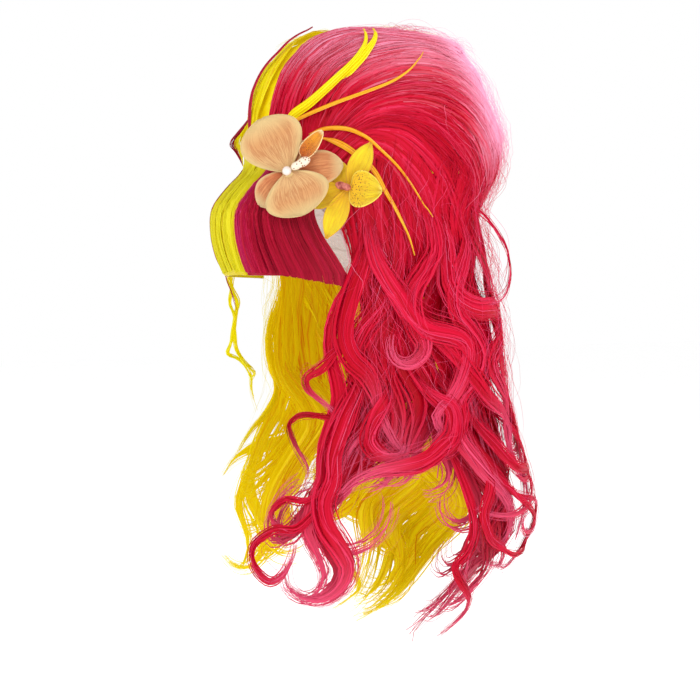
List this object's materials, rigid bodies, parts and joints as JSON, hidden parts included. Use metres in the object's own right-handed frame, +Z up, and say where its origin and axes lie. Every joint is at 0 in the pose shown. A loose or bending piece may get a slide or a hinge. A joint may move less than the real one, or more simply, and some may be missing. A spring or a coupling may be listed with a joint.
{
  "type": "long curly wig",
  "caption": "Long wig in two colours with a tall teased beehive, bulging fringe, hanging curls and cloth orchids.",
  "frame": {"origin": "inside top of the cap, where the crown of the head sits", "axes": "+Z up, the wearer faces -Y and the wearer's left is +X"},
  "size_m": [0.2867, 0.3382, 0.6602],
  "materials": {
    "cap_net": "knotted stretch net, dull",
    "hair_pink": "combed synthetic fibre, silky",
    "hair_yellow": "combed synthetic fibre, silky",
    "hair_orange": "waxed synthetic fibre, silky",
    "hair_red": "waxed synthetic fibre, silky",
    "orchid_peach": "printed cloth, dull",
    "orchid_sepal": "printed cloth, dull",
    "orchid_gold": "printed cloth, dull",
    "orchid_cream": "moulded, speckled",
    "pearl": "pearl lacquer",
    "orchid_yellow": "printed cloth, dull",
    "orchid_brown": "moulded",
    "pin_green": "tape wound"
  },
  "bodies": {
    "root": {"wig_cap": "cap_net", "crown_hair_pink": "hair_pink", "crown_hair_yellow": "hair_yellow", "beehive_pink": "hair_pink", "beehive_yellow": "hair_yellow", "fringe_pink": "hair_pink", "fringe_yellow": "hair_yellow", "left_front_curls": "hair_pink", "left_side_curls": "hair_pink", "left_back_curls": "hair_pink", "right_back_curls": "hair_yellow", "right_side_curls": "hair_yellow", "right_front_curls": "hair_yellow", "yellow_strip": "hair_yellow", "orange_strand": "hair_orange", "arc_strand": "hair_orange", "falling_strand": "hair_orange", "red_strip": "hair_red", "orchid_peach_sepals": "orchid_sepal", "orchid_peach_petals": "orchid_peach", "orchid_peach_lip": "orchid_gold", "orchid_peach_column": "orchid_cream", "orchid_pearl": "pearl", "orchid_peach_pin": "pin_green", "orchid_yellow_petals": "orchid_yellow", "orchid_yellow_lip": "orchid_yellow", "orchid_yellow_column": "orchid_brown", "orchid_yellow_pin": "pin_green"}
  },
  "joints": []
}
